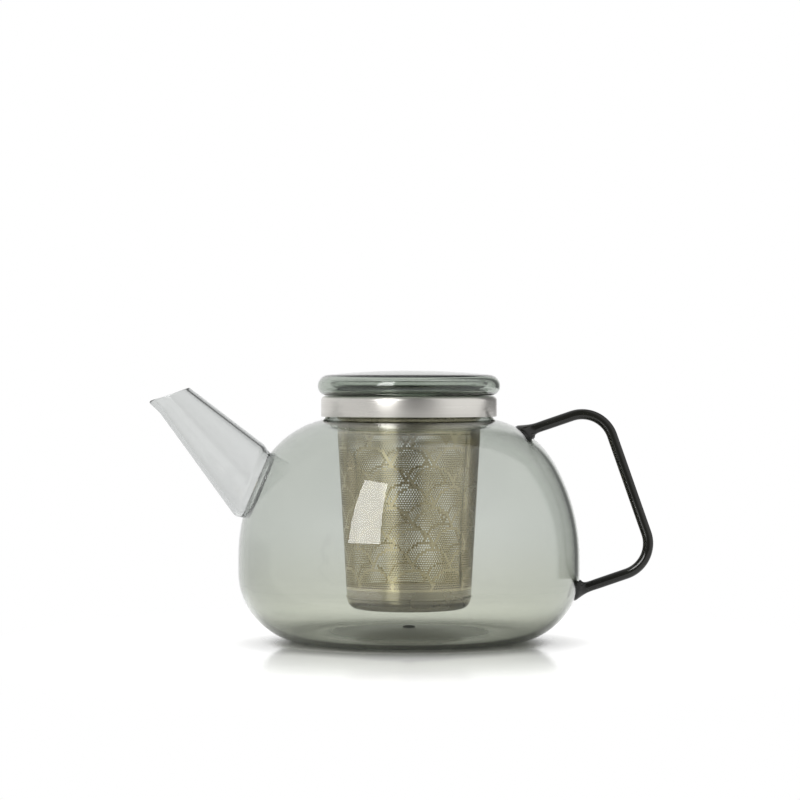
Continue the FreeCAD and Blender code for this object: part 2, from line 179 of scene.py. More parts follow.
# Bowl's glass: squares of the distances from the axis and heights between which the haze of its floor fades,
# and heights between which the shade painted into its colour low down fades out, with that painted shade's
# colour
HAZE_SQUARES = (0.0009, 0.0019)
HAZE_HEIGHTS = (0.006, 0.012)
LOW_PAINTED_SHADE_HEIGHTS = (0.006, 0.055)
LOW_PAINTED_SHADE = (0.935, 0.93, 0.875, 1.0)

# Table top, with the distances from the pot's axis between which each thing changes. Its glow is painted
# light that lifts it to white; where the glow fades round the foot and the colour darkens under the pot,
# shade is painted. The spread of the glow and the white far out are counted from a little in front of it, and
# grow faster across
FLOOR_RADIUS = 0.34
FLOOR_LEVEL = -0.0002
FLOOR_GLOW = 0.48
SHADE_AHEAD = 0.03
SHADE_STRETCH = 2.0
GLOW_UNDER_BASE = (0.036, 0.046)
GLOW_ROUND_FOOT = (0.05, 0.088)
GLOW_SPREAD = (0.06, 0.19)
GLOW_LEAST = 0.28
PAINTED_SHADE_UNDER_POT = (0.055, 0.09)
MATT_UNDER_POT = (0.045, 0.07)
MATT_FAR_OUT = (0.09, 0.3)
WHITE_FAR_OUT = (0.1, 0.27)

# How bright the room's walls are at each turn from the camera towards the handle, first as faces mirror
# them and then as glass shows them
WALLS = (
    (-180, 1.0), (-150, 0.95), (-128, 0.85), (-100, 0.8), (-60, 0.7), (-42, 0.48), (-8, 0.18), (10, 0.16),
    (28, 0.38), (50, 1.0), (180, 1.0),
)
CLEAR_WALLS = (
    (-180, 1.0), (-110, 0.95), (-60, 0.95), (-47, 0.95), (-42, 1.9), (-22, 1.9), (-18, 0.25), (14, 0.3),
    (34, 1.0), (55, 1.1), (100, 1.0), (180, 1.0),
)
# A dark flag stands behind on the handle's side, and its foot fades out between two heights, which are sines
FLAG = ((-180, 1.0), (117, 1.0), (121, 0.2), (158, 0.2), (165, 1.0), (180, 1.0))
FLAG_FOOT = (-0.16, -0.06)
# Between two heights, which are sines, the room goes from the third number's brightness to the fourth's
OVERHEAD = (0.3, 0.7, 1.0, 0.95)
# Depths of light that tell a mirrored ray from a plain one, and a third face of glass from a second
ANY_MIRROR = (0.2, 0.8)
THIRD_FACE = (2.2, 2.8)

# Softbox on the spout's side of the camera, which leans back from facing the pot until it stands upright
KEY_DISTANCE = 3.0
KEY_AZIMUTH = math.radians(30.0)
KEY_HEIGHT = math.radians(32.5)
KEY_WAY = (
    -math.sin(KEY_AZIMUTH) * math.cos(KEY_HEIGHT),
    -math.cos(KEY_AZIMUTH) * math.cos(KEY_HEIGHT),
    math.sin(KEY_HEIGHT),
)
KEY_SIZE = (0.95, 2.25)
KEY_LEAN = math.radians(-33.0)
KEY_RADIANCE = 10.0

# Camera
CAMERA_PLACE = (-0.00395, -1.426, 0.1197)
CAMERA_AIM_LEVEL = 0.1063
CAMERA_LENS = 146
CAMERA_SENSOR = 36


# Modelling by hand

def place(across, up, forward=0.0):
    """A point in metres from millimetres across, up and along Y."""
    return across * MM, forward * MM, up * MM


def polar(centre, radius, angle):
    """The point at a radius and an angle above +X from a centre in the XZ plane."""
    turn_angle = math.radians(angle)
    return centre[0] + radius * math.cos(turn_angle), centre[1] + radius * math.sin(turn_angle)


def angle_of(start, end):
    """The angle above +X of the way from one point of the XZ plane to another."""
    return math.degrees(math.atan2(end[1] - start[1], end[0] - start[0]))


def leave_edit():
    bpy.ops.object.mode_set(mode="OBJECT")


def deselect():
    if bpy.context.object and bpy.context.object.mode == "EDIT":
        leave_edit()
    bpy.ops.object.select_all(action="DESELECT")


def hold(piece):
    """Make one piece the only selected and active object."""
    deselect()
    piece.select_set(True)
    bpy.context.view_layer.objects.active = piece


def open_whole(piece):
    """Open a piece in edit mode with all of it selected."""
    hold(piece)
    bpy.ops.object.mode_set(mode="EDIT")
    bpy.ops.mesh.select_all(action="SELECT")


def pick(piece, kind, test):
    """Select, in edit mode, the vertices, edges or faces of a piece that pass a test."""
    hold(piece)
    bpy.ops.object.mode_set(mode="EDIT")
    bpy.ops.mesh.select_mode(type=kind)
    bpy.ops.mesh.select_all(action="DESELECT")
    leave_edit()
    items = {"VERT": piece.data.vertices, "EDGE": piece.data.edges, "FACE": piece.data.polygons}[kind]
    for item in items:
        item.select = test(item)
    bpy.ops.object.mode_set(mode="EDIT")


def give_name(piece, name):
    piece.name = name
    piece.data.name = name


def modify(piece, kind, **settings):
    """Add a modifier to a piece, set it and apply it."""
    hold(piece)
    modifier = piece.modifiers.new(kind, kind)
    for name, value in settings.items():
        setattr(modifier, name, value)
    bpy.ops.object.modifier_apply(modifier=modifier.name)


def thicken(piece, wall, side=-1, even=True):
    """Give a drawn sheet its wall: inwards of its faces where the side is -1, and half to each side at 0."""
    modify(piece, "SOLIDIFY", thickness=wall * MM, offset=side, use_even_offset=even)


def round_edges(piece, width, segments):
    modify(
        piece, "BEVEL", width=width * MM, segments=segments, limit_method="ANGLE",
        angle_limit=math.radians(SHARP_ANGLE),
    )


def lay_on(piece, target, group, indices):
    """Move some vertices of a piece to the nearest places on a target's faces."""
    piece.vertex_groups.new(name=group).add(indices, 1.0, "REPLACE")
    modify(piece, "SHRINKWRAP", target=target, wrap_method="NEAREST_SURFACEPOINT", vertex_group=group)


def settle(piece):
    """Put a turned or moved piece's place into its mesh."""
    hold(piece)
    bpy.ops.object.transform_apply(location=True, rotation=True, scale=True)


def discard(piece):
    hold(piece)
    bpy.ops.object.delete()


def face_outwards():
    """Turn the faces of the mesh in edit mode outwards and leave edit mode."""
    bpy.ops.mesh.select_all(action="SELECT")
    bpy.ops.mesh.normals_make_consistent(inside=False)
    leave_edit()


def close_seams():
    """Merge the doubles of the mesh in edit mode and turn its faces outwards."""
    bpy.ops.mesh.select_all(action="SELECT")
    bpy.ops.mesh.remove_doubles(threshold=SEAM_DOUBLES * MM)
    face_outwards()


def extrude(start, end):
    """Extrude what is selected by the way from one point of the XZ plane to another."""
    move = place(end[0] - start[0], end[1] - start[1])
    bpy.ops.mesh.extrude_region_move(TRANSFORM_OT_translate={"value": move})


def arc(centre, angle, facets):
    """An arc as a step of a section, with an angle that runs anticlockwise where Z is up."""
    return (*centre, angle, facets)


def draw_section(name, start, steps):
    """Draw an open outline in the XZ plane from a start point.

    A step is the point where a straight run ends, or an arc.
    """
    deselect()
    bpy.ops.mesh.primitive_plane_add(size=MM)
    piece = bpy.context.object
    give_name(piece, name)
    bpy.ops.object.mode_set(mode="EDIT")
    bpy.ops.mesh.select_mode(type="VERT")
    bpy.ops.mesh.select_all(action="SELECT")
    bpy.ops.mesh.merge(type="CENTER")
    bpy.ops.transform.translate(value=place(*start))
    here = start
    for step in steps:
        if len(step) == 2:
            extrude(here, step)
            here = step
        else:
            centre, angle, facets = step[:2], math.radians(step[2]), step[3]
            bpy.ops.mesh.spin(steps=facets, angle=angle, center=place(*centre), axis=(0, 1, 0))
            across, up = here[0] - centre[0], here[1] - centre[1]
            here = (
                centre[0] + across * math.cos(angle) - up * math.sin(angle),
                centre[1] + across * math.sin(angle) + up * math.cos(angle),
            )
    return piece


def turn(piece, facets=TURNED_FACETS):
    """Spin the drawn section once round the Z axis."""
    bpy.ops.mesh.select_all(action="SELECT")
    bpy.ops.mesh.spin(steps=facets, angle=2 * math.pi, center=(0, 0, 0), axis=(0, 0, 1))
    close_seams()
    return piece


def smooth(piece, angle=35):
    hold(piece)
    bpy.ops.object.shade_smooth_by_angle(angle=math.radians(angle))


# Bowl

FOOT_OUT = BOWL_RADIUS - HEEL_RADIUS
FOOT_IN = FOOT_OUT - FOOT_WIDTH
DOME_RADIUS = (FOOT_IN ** 2 + BASE_RISE ** 2) / (2 * BASE_RISE)
DOME_CENTRE = (0.0, BASE_RISE - DOME_RADIUS)
FOOT_LEAN = math.asin(FOOT_IN / DOME_RADIUS) / 2
FOOT_CENTRE = (FOOT_IN + FOOT_ROUND * math.tan(FOOT_LEAN), FOOT_ROUND)
DOME_END = math.degrees(math.atan2(FOOT_CENTRE[0], FOOT_ROUND - DOME_CENTRE[1]))
HEEL_CENTRE = (FOOT_OUT, HEEL_RADIUS)
SIDE_CENTRE = (BOWL_RADIUS - SIDE_RADIUS, BELT_TOP)
CENTRES_APART = SIDE_RADIUS - SHOULDER_RADIUS
CENTRES_RISE = SHOULDER_RISE - SHOULDER_RADIUS
CENTRES_ACROSS = math.sqrt(CENTRES_APART ** 2 - CENTRES_RISE ** 2)
SHOULDER_CENTRE = (SIDE_CENTRE[0] + CENTRES_ACROSS, BELT_TOP + CENTRES_RISE)
SIDE_END = math.degrees(math.atan2(CENTRES_RISE, CENTRES_ACROSS))
FILLET_REACH = SHOULDER_RADIUS + NECK_FILLET
FILLET_OUT = NECK_RADIUS + NECK_FILLET
FILLET_LEVEL = SHOULDER_CENTRE[1] + math.sqrt(FILLET_REACH ** 2 - (FILLET_OUT - SHOULDER_CENTRE[0]) ** 2)
FILLET_CENTRE = (FILLET_OUT, FILLET_LEVEL)
SHOULDER_END = math.degrees(math.acos((FILLET_OUT - SHOULDER_CENTRE[0]) / FILLET_REACH))
BASE_MIDDLE = (0.0, BASE_RISE)
FLOOR_MIDDLE_LEVEL = BASE_RISE + BOWL_WALL


def bowl_outside():
    """Steps of the bowl's outer face from the middle of its base up to the neck."""
    return [
        arc(DOME_CENTRE, -DOME_END, facets=24),
        arc(FOOT_CENTRE, DOME_END, facets=6),
        (FOOT_OUT, 0),
        arc(HEEL_CENTRE, 90, facets=48),
        (BOWL_RADIUS, BELT_TOP),
        arc(SIDE_CENTRE, SIDE_END, facets=28),
        arc(SHOULDER_CENTRE, SHOULDER_END - SIDE_END, facets=32),
        arc(FILLET_CENTRE, -SHOULDER_END, facets=10),
    ]


def bowl_inside():
    """Steps of the rim and the bowl's inner face, down to the small nub in the middle of its floor."""
    nub_edge = math.degrees(math.asin(NUB_RADIUS / (DOME_RADIUS + BOWL_WALL)))
    rim_centre = (NECK_RADIUS - BOWL_WALL / 2, RIM_LEVEL - BOWL_WALL / 2)
    nub = [(NUB_RADIUS * out, FLOOR_MIDDLE_LEVEL + NUB_RISE * rise) for out, rise in NUB_OUTLINE]
    return [
        (NECK_RADIUS, rim_centre[1]),
        arc(rim_centre, 180, facets=16),
        (NECK_RADIUS - BOWL_WALL, FILLET_LEVEL),
        arc(FILLET_CENTRE, SHOULDER_END, facets=12),
        arc(SHOULDER_CENTRE, SIDE_END - SHOULDER_END, facets=32),
        arc(SIDE_CENTRE, -SIDE_END, facets=28),
        (BOWL_RADIUS - BOWL_WALL, HEEL_RADIUS),
        arc(HEEL_CENTRE, -90, facets=48),
        (FOOT_CENTRE[0], BOWL_WALL),
        arc(FOOT_CENTRE, -DOME_END, facets=6),
        arc(DOME_CENTRE, DOME_END - nub_edge, facets=24),
    ] + nub


def mark_nub(bowl):
    """Give the faces of the nub the second of the bowl's finishes."""
    low = BASE_RISE + BOWL_WALL / 2
    high = FLOOR_MIDDLE_LEVEL + NUB_RISE * 2
    for face in bowl.data.polygons:
        reach = math.hypot(face.center.x, face.center.y) / MM
        face.material_index = int(reach < NUB_RADIUS and low < face.center.z / MM < high)


bowl = turn(draw_section("bowl_glass", BASE_MIDDLE, bowl_outside() + bowl_inside()), BOWL_FACETS)

# A skin just under the bowl's outer face, on which the fused pieces end
bowl_skin = turn(draw_section("bowl_skin", BASE_MIDDLE, bowl_outside()), BOWL_FACETS)
open_whole(bowl_skin)
bpy.ops.transform.shrink_fatten(value=-FUSE_DEPTH * MM)
leave_edit()


# Spout

def towards(angle):
    """The way to the spout's side at an angle above the table, in the XZ plane."""
    return -math.cos(math.radians(angle)), math.sin(math.radians(angle))


SEAT_IN_SECTION = polar(SIDE_CENTRE, SIDE_RADIUS, SPOUT_SEAT_ANGLE)
SPOUT_SEAT = (-SEAT_IN_SECTION[0], SEAT_IN_SECTION[1])
SPOUT_TILT = math.radians(SPOUT_ANGLE - 90)
SPOUT_WAY = towards(SPOUT_ANGLE)
SEAT_WAY = towards(SPOUT_SEAT_ANGLE)
MOUTH_WAY = towards(90 - MOUTH_ANGLE)
SPOUT_TAPER = (SPOUT_ROOT_RADIUS - SPOUT_TIP_RADIUS) / SPOUT_LENGTH


def along(start, way, distance):
    """The point at a distance from a start along a way of the XZ plane."""
    return start[0] + way[0] * distance, start[1] + way[1] * distance


def past(point, middle, way):
    """How far in millimetres a vertex lies past the plane through a middle that faces a way."""
    return (point[0] / MM - middle[0]) * way[0] + (point[2] / MM - middle[1]) * way[1]


SPOUT_MOUTH = along(SPOUT_SEAT, SPOUT_WAY, SPOUT_LENGTH)


def cut_spout_hole():
    deselect()
    bpy.ops.mesh.primitive_cylinder_add(
        vertices=96, radius=SPOUT_HOLE_RADIUS * MM, depth=SPOUT_HOLE_DEPTH * MM,
        location=place(*SPOUT_SEAT), rotation=(0, SPOUT_TILT, 0),
    )
    cutter = bpy.context.object
    modify(bowl, "BOOLEAN", object=cutter, operation="DIFFERENCE", solver="EXACT")
    discard(cutter)


def cut_tube(tube):
    """Cut the tube at its mouth and its root, with rows of edges near both."""
    hold(tube)
    bpy.ops.object.mode_set(mode="EDIT")
    cuts = [(SPOUT_MOUTH, MOUTH_WAY, 0.0, {"clear_outer": True})]
    cuts += [(SPOUT_MOUTH, MOUTH_WAY, -depth, {}) for depth in LIP_ROWS]
    cuts += [(SPOUT_SEAT, SEAT_WAY, ROOT_START + height, {}) for height in ROOT_ROWS]
    cuts += [(SPOUT_SEAT, SEAT_WAY, ROOT_START, {"clear_inner": True})]
    for centre, way, distance, clear in cuts:
        bpy.ops.mesh.select_all(action="SELECT")
        middle = place(*along(centre, way, distance))
        bpy.ops.mesh.bisect(plane_co=middle, plane_no=(way[0], 0, way[1]), **clear)


def fuse_root(tube):
    """Round the root in towards the bowl over a few rings, and lay the last one on the bowl's skin."""
    def at_root(vertex):
        return abs(past(vertex.co, SPOUT_SEAT, SEAT_WAY) - ROOT_START) < CUT_TOLERANCE

    pick(tube, "VERT", at_root)
    slope = SEAT_WAY[0] * SPOUT_WAY[0] + SEAT_WAY[1] * SPOUT_WAY[1]
    height, size = ROOT_START, 1.0
    for level, share in ROOT_RINGS:
        extrude((0.0, 0.0), along((0.0, 0.0), SPOUT_WAY, (level - height) / slope))
        middle = place(*along(SPOUT_SEAT, SPOUT_WAY, level / slope))
        bpy.ops.transform.resize(value=(share / size,) * 3, center_override=middle)
        height, size = level, share
    leave_edit()
    lay_on(tube, bowl_skin, "root", [vertex.index for vertex in tube.data.vertices if vertex.select])


def draw_out_lip(tube):
    """Draw the pouring lip out a little at its lowest side."""
    def on_lip(vertex):
        return abs(past(vertex.co, SPOUT_MOUTH, MOUTH_WAY)) < CUT_TOLERANCE and vertex.co.x < LIP_REACH * MM

    pick(tube, "VERT", on_lip)
    bpy.ops.transform.translate(
        value=place(*LIP_PULL), use_proportional_edit=True,
        proportional_size=LIP_SPREAD * MM, proportional_edit_falloff="SMOOTH",
    )
    face_outwards()


def make_spout():
    """A tapered tube cut on a slant at the mouth, rounded in at the root and fused to the bowl."""
    ends = [(SPOUT_ROOT_RADIUS - SPOUT_TAPER * level, level) for level in SPOUT_RUN]
    tube = turn(draw_section("spout_glass", ends[0], ends[1:]), SPOUT_FACETS)
    tube.rotation_euler = (0, SPOUT_TILT, 0)
    tube.location = place(*SPOUT_SEAT)
    settle(tube)
    cut_tube(tube)
    fuse_root(tube)
    draw_out_lip(tube)
    thicken(tube, SPOUT_WALL)
    round_edges(tube, SPOUT_EDGE_ROUND, segments=5)
    smooth(tube, angle=60)
    return tube


cut_spout_hole()
smooth(bowl)
mark_nub(bowl)
spout = make_spout()


# Handle

class RodEnd:
    """The selected ring at the growing end of the rod, which is extruded and spun along its way."""

    def __init__(self, centre, tilt, radius):
        self.centre = centre
        self.tilt = tilt
        self.radius = radius

    def step(self, target, tilt, radius):
        """Extrude the ring straight to a target, where it gets a new tilt and radius."""
        extrude(self.centre, target)
        if abs(tilt - self.tilt) > 1e-6:
            bpy.ops.transform.rotate(
                value=math.radians(tilt - self.tilt), orient_axis="Y", center_override=place(*target)
            )
        if abs(radius - self.radius) > 1e-9:
            bpy.ops.transform.resize(value=(radius / self.radius,) * 3, center_override=place(*target))
        self.centre, self.tilt, self.radius = target, tilt, radius

    def bend(self, corner, way_in, way_out):
        """Run the ring up to a corner and spin it round into the way out."""
        swing = (way_out - way_in + 180) % 360 - 180
        setback = ROD_BEND * math.tan(math.radians(abs(swing) / 2))
        self.step(polar(corner, -setback, way_in), way_in, ROD_RADIUS)
        side = 90 if swing > 0 else -90
        middle = polar(self.centre, ROD_BEND, way_in + side)
        bpy.ops.mesh.spin(steps=BEND_FACETS, angle=math.radians(swing), center=place(*middle), axis=(0, 1, 0))
        self.centre = polar(corner, setback, way_out)
        self.tilt = way_out


def foot_stations(seat, corner, facing):
    """The centre, tilt and radius of each ring of a flared foot, from the bowl's face out along the rod."""
    way = angle_of(seat, corner)
    return [
        (polar(seat, distance, way), way + (facing - way) * lean, radius)
        for distance, radius, lean in FOOT_RINGS
    ]


def make_handle():
    """A ring swept along the bent rod by extruding and spinning it, with a flared foot at both ends."""
    top_seat = polar(SHOULDER_CENTRE, SHOULDER_RADIUS, HANDLE_TOP_ANGLE)
    low_seat = polar(HEEL_CENTRE, HEEL_RADIUS, HANDLE_LOW_ANGLE)
    first_ring, *top_foot = foot_stations(top_seat, HANDLE_TOP_CORNER, HANDLE_TOP_ANGLE)
    low_foot = foot_stations(low_seat, HANDLE_LOW_CORNER, HANDLE_LOW_ANGLE)
    centre, tilt, radius = first_ring
    deselect()
    bpy.ops.mesh.primitive_circle_add(
        vertices=ROD_FACETS, radius=radius * MM, location=place(*centre),
        rotation=(0, math.radians(90 - tilt), 0),
    )
    rod = bpy.context.object
    give_name(rod, "handle_rod")
    settle(rod)
    open_whole(rod)
    end = RodEnd(centre, tilt, radius)
    for station in top_foot:
        end.step(*station)
    way_out = angle_of(top_seat, HANDLE_TOP_CORNER)
    way_down = angle_of(HANDLE_TOP_CORNER, HANDLE_LOW_CORNER)
    way_back = angle_of(HANDLE_LOW_CORNER, low_seat)
    end.bend(HANDLE_TOP_CORNER, way_out, way_down)
    end.bend(HANDLE_LOW_CORNER, way_down, way_back)
    # At the lower foot the ring has come round by half a turn, so its lean is counted from there
    half_turn = end.tilt - angle_of(low_seat, HANDLE_LOW_CORNER)
    for target, tilt, radius in reversed(low_foot):
        end.step(target, tilt + half_turn, radius)
    leave_edit()
    last = [vertex.index for vertex in rod.data.vertices if vertex.select]
    first = list(range(ROD_FACETS))
    lay_on(rod, bowl_skin, "feet", last + first)
    for ring in (last, first):
        chosen = set(ring)
        pick(rod, "VERT", lambda vertex: vertex.index in chosen)
        bpy.ops.mesh.edge_face_add()
    face_outwards()
    smooth(rod, angle=50)
    return rod


handle = make_handle()
discard(bowl_skin)


# Infuser

def sleeve_radius(level):
    """The sleeve's outer radius at a height."""
    share = (level - SEAM_LEVEL) / (COLLAR_TOP - SEAM_LEVEL)
    return SLEEVE_LOW_RADIUS + (SLEEVE_TOP_RADIUS - SLEEVE_LOW_RADIUS) * share


FIELD_MIDDLE = (HOLES_LOW + HOLES_HIGH) / 2
FIELD_RADIUS = sleeve_radius(FIELD_MIDDLE)
FIELD_WIDTH = 2 * math.pi * FIELD_RADIUS
CELLS_ROUND = round(FIELD_WIDTH / HOLE_PITCH)
CELL_WIDTH = FIELD_WIDTH / CELLS_ROUND
CELL_RADIUS = CELL_WIDTH / math.sqrt(3)
ROW_RISE = CELL_RADIUS * 1.5
ROW_PAIRS = round((HOLES_HIGH - HOLES_LOW) / ROW_RISE / 2)


def make_collar():
    """A band that turns in over the neck's rim and down into the throat."""
    throat = SLEEVE_TOP_RADIUS + THROAT_ROUND
    band = turn(draw_section("collar_band", (COLLAR_RADIUS, COLLAR_LOW), [
        (COLLAR_RADIUS, COLLAR_TOP - COLLAR_ROUND),
        arc((COLLAR_RADIUS - COLLAR_ROUND, COLLAR_TOP - COLLAR_ROUND), 90, facets=10),
        (throat, COLLAR_TOP),
        arc((throat, COLLAR_TOP - THROAT_ROUND), 90, facets=6),
        (sleeve_radius(COLLAR_LIP_LOW), COLLAR_LIP_LOW),
    ]))
    thicken(band, COLLAR_METAL)
    round_edges(band, COLLAR_EDGE_ROUND, segments=2)
    smooth(band)
    return band


def make_pan():
    """A pressed pan whose rim laps the sleeve's foot."""
    rim = SLEEVE_LOW_RADIUS + PAN_LAP
    flat = SLEEVE_LOW_RADIUS - PAN_ROUND
    pan = turn(draw_section("pan", (0, PAN_LOW), [
        (flat, PAN_LOW),
        arc((flat, PAN_LOW + PAN_ROUND), 90, facets=14),
        (rim, SEAM_LEVEL),
        (rim, SEAM_LEVEL + PAN_RIM),
    ]))
    thicken(pan, SLEEVE_METAL)
    round_edges(pan, PAN_EDGE_ROUND, segments=2)
    smooth(pan)
    return pan


def make_plain_band(name, low, high):
    """An unpierced band of sheet between two heights."""
    band = turn(draw_section(name, (sleeve_radius(low), low), [(sleeve_radius(high), high)]))
    thicken(band, SLEEVE_METAL)
    smooth(band)
    return band


def on_scale_line(across, level):
    """True on the thin unpierced arcs of the fish-scale pattern, on the flat sheet."""
    radius = FIELD_WIDTH / SCALES_ROUND / 2
    row = math.floor((SCALE_TOP - level) / SCALE_RISE)
    for number in (row - 1, row, row + 1):
        shift = SCALE_TURN / 360 * FIELD_WIDTH + (radius if number % 2 else 0.0)
        aside = (across - shift + radius) % (2 * radius) - radius
        rise = level - (SCALE_TOP - number * SCALE_RISE - radius)
        on_arc = rise > 0 and abs(math.hypot(aside, rise) - radius) < SCALE_HALF_LINE
        # The scales of the next row down lie over this one
        lower_aside = radius - abs(aside)
        covered = math.hypot(lower_aside, rise + SCALE_RISE) < radius - SCALE_HALF_LINE
        if on_arc and not covered:
            return True
    return False


def is_hole(face):
    """True for a cell of the flat sheet that is pierced."""
    level = face.center.z / MM + FIELD_MIDDLE
    inside = HOLES_LOW + ROW_RISE < level < HOLES_HIGH - ROW_RISE
    return inside and not on_scale_line(face.center.x / MM, level)


def lay_cells():
    """A flat sheet of hexagonal cells, upright across X."""
    deselect()
    bpy.ops.mesh.primitive_circle_add(
        vertices=6, radius=CELL_RADIUS * MM, fill_type="NGON", rotation=(math.radians(90), 0, 0),
        location=place((CELL_WIDTH / 2 - FIELD_WIDTH) / 2, (0.5 - ROW_PAIRS) * ROW_RISE),
    )
    sheet = bpy.context.object
    give_name(sheet, "pierced_sleeve")
    settle(sheet)
    open_whole(sheet)
    bpy.ops.mesh.duplicate_move(TRANSFORM_OT_translate={"value": place(CELL_WIDTH / 2, ROW_RISE)})
    leave_edit()
    for count, offset in ((CELLS_ROUND, place(CELL_WIDTH, 0)), (ROW_PAIRS, place(0, ROW_RISE * 2))):
        modify(
            sheet, "ARRAY", count=count, use_relative_offset=False, use_constant_offset=True,
            constant_offset_displace=offset,
        )
    open_whole(sheet)
    bpy.ops.mesh.remove_doubles(threshold=CELL_DOUBLES * MM)
    return sheet


def bend_round(sheet):
    """Bend the flat sheet into a tube, taper it, stand it at its height and give back its length."""
    # The rows are half a cell out of step, so the sheet is half a cell wider than one turn
    whole_turn = 2 * math.pi * (CELLS_ROUND + 0.5) / CELLS_ROUND
    modify(sheet, "SIMPLE_DEFORM", deform_method="BEND", deform_axis="Z", angle=whole_turn)
    length = sheet.dimensions.z / MM
    sheet.location = place(0, 0, -FIELD_RADIUS)
    settle(sheet)
    spread = (sleeve_radius(HOLES_HIGH) - sleeve_radius(HOLES_LOW)) / (HOLES_HIGH - HOLES_LOW) * length
    modify(
        sheet, "SIMPLE_DEFORM", deform_method="TAPER", deform_axis="Z", factor=spread / FIELD_RADIUS,
    )
    sheet.location = place(0, FIELD_MIDDLE)
    settle(sheet)
    open_whole(sheet)
    close_seams()
    return length


def make_pierced_sleeve():
    """Hexagonal cells laid as a flat sheet, pierced, bent round, tapered and cut into rings of cells."""
    sheet = lay_cells()
    pick(sheet, "FACE", is_hole)
    bpy.ops.mesh.inset(thickness=HOLE_EDGE * MM, use_individual=True)
    bpy.ops.mesh.delete(type="FACE")
    leave_edit()
    length = bend_round(sheet)
    rings = [sheet]
    for number in range(1, SLEEVE_RINGS):
        level = FIELD_MIDDLE - length / 2 + length * number / SLEEVE_RINGS
        pick(sheet, "FACE", lambda face: face.center.z / MM < level)
        bpy.ops.mesh.separate(type="SELECTED")
        leave_edit()
        ring = [piece for piece in bpy.context.selected_objects if piece is not sheet][0]
        give_name(ring, f"pierced_ring_{number}")
        rings.append(ring)
    give_name(sheet, f"pierced_ring_{SLEEVE_RINGS}")
    for ring in rings:
        thicken(ring, SHEET_METAL, even=False)
        smooth(ring)
    return rings


# Seals and lid

def rounded_ring(name, inner, outer, low, high, corner):
    """A turned ring with a rounded square section."""
    left, right = inner + corner, outer - corner
    bottom, top = low + corner, high - corner
    ring = turn(draw_section(name, (inner, top), [
        (inner, bottom),
        arc((left, bottom), 90, facets=5),
        (right, low),
        arc((right, bottom), 90, facets=5),
        (outer, top),
        arc((right, top), 90, facets=5),
        (left, high),
        arc((left, top), 90, facets=5),
    ]))
    smooth(ring)
    return ring


def make_lid():
    """A hollow lid: a slightly domed top, a round rim and a plug that reaches into the infuser."""
    top_middle = LID_RADIUS - LID_TOP_ROUND
    low_middle = LID_RADIUS - LID_LOW_ROUND
    drop = LID_TOP - LID_WIDEST
    dome = (top_middle ** 2 + drop ** 2 - LID_TOP_ROUND ** 2) / (2 * (drop - LID_TOP_ROUND))
    lean = math.degrees(math.atan2(top_middle, dome - drop))
    groove = PLUG_RADIUS + LID_GROOVE
    lid = turn(draw_section("lid_glass", (0, LID_TOP), [
        arc((0, LID_TOP - dome), -lean, facets=20),
        arc((top_middle, LID_WIDEST), lean - 90, facets=20),
        arc((low_middle, LID_WIDEST), -90, facets=16),
        (groove, LID_LOW),
        arc((groove, LID_LOW - LID_GROOVE), 90, facets=5),
        (PLUG_RADIUS, PLUG_LOW + PLUG_ROUND),
        arc((PLUG_RADIUS - PLUG_ROUND, PLUG_LOW + PLUG_ROUND), -90, facets=12),
        (0, PLUG_LOW),
    ]))
    thicken(lid, LID_WALL)
    smooth(lid)
    return lid


def make_plug_wall():
    """The plug's own wall, which flares out inside the hollow of the lid."""
    rise = PLUG_WALL_TOP - PLUG_WALL_LOW
    sweep = PLUG_WALL_REACH - PLUG_RADIUS
    steps = [(PLUG_RADIUS + sweep * out, PLUG_WALL_LOW + rise * up) for out, up in PLUG_WALL_OUTLINE]
    wall = turn(draw_section("lid_plug_wall", (PLUG_RADIUS, PLUG_WALL_LOW), steps))
    modify(wall, "SUBSURF", levels=2)
    thicken(wall, PLUG_WALL, side=0)
    round_edges(wall, PLUG_WALL_EDGE_ROUND, segments=4)
    smooth(wall, angle=50)
    return wall


collar = make_collar()
pan = make_pan()
bands = [
    make_plain_band("sleeve_top_band", HOLES_HIGH - FIELD_LAP, COLLAR_TOP - SLEEVE_SETBACK),
    make_plain_band("sleeve_low_band", SEAM_LEVEL, HOLES_LOW + FIELD_LAP),
]
rings = make_pierced_sleeve()
neck_seal = rounded_ring(
    "neck_seal_ring", NECK_RADIUS - BOWL_WALL, NECK_RADIUS,
    RIM_LEVEL + SEAT_GAP, COLLAR_TOP - COLLAR_METAL, NECK_SEAL_ROUND,
)
lid_seal = rounded_ring(
    "lid_seal_ring", PLUG_RADIUS + SEAL_GAP, PLUG_RADIUS + SEAL_GAP + LID_SEAL_WIDTH,
    LID_LOW - LID_SEAL_HEIGHT, LID_LOW, LID_SEAL_ROUND,
)
lid = make_lid()
plug_wall = make_plug_wall()


# Finishes

